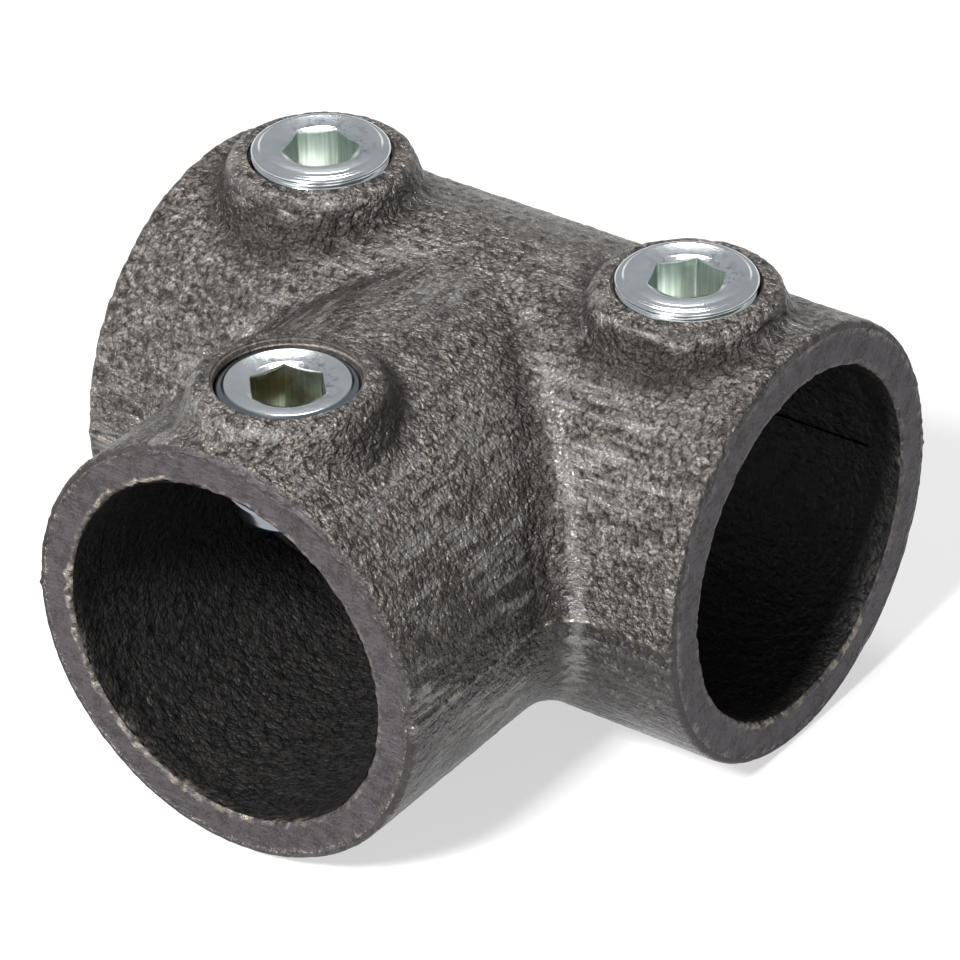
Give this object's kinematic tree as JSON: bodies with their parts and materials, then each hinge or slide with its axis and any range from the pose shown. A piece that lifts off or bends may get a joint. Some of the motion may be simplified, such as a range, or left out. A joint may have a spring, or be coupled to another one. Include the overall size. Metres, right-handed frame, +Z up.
{
  "type": "tube clamp tee fitting",
  "caption": "Cast short tee that joins round tubes: a tube passes through or ends in the run, another enters the branch, and cup-point set screws with hexagon sockets grip them.",
  "frame": {"origin": "where the axes of the run and the branch cross", "axes": "+X along the run, -Y out of the branch's mouth, +Z up out of the set screws' bosses"},
  "size_m": [0.0842, 0.0827, 0.0589],
  "materials": {
    "cast_iron": "rough as cast, with ground mouth faces",
    "plated_steel": "bright zinc plate"
  },
  "bodies": {
    "casting": {"tee_casting": "cast_iron"},
    "screw_run_left": {"set_screw_run_left": "plated_steel"},
    "screw_run_right": {"set_screw_run_right": "plated_steel"},
    "screw_branch": {"set_screw_branch": "plated_steel"}
  },
  "joints": [
    {"name": "run_left_travel", "type": "slide", "parent": "casting", "child": "screw_run_left", "axis": [0, 0, 1], "range_m": [-0.0052, 0.0075]},
    {"name": "run_right_travel", "type": "slide", "parent": "casting", "child": "screw_run_right", "axis": [0, 0, 1], "range_m": [-0.0044, 0.0076]},
    {"name": "branch_travel", "type": "slide", "parent": "casting", "child": "screw_branch", "axis": [0, 0, 1], "range_m": [-0.0022, 0.0094]}
  ]
}
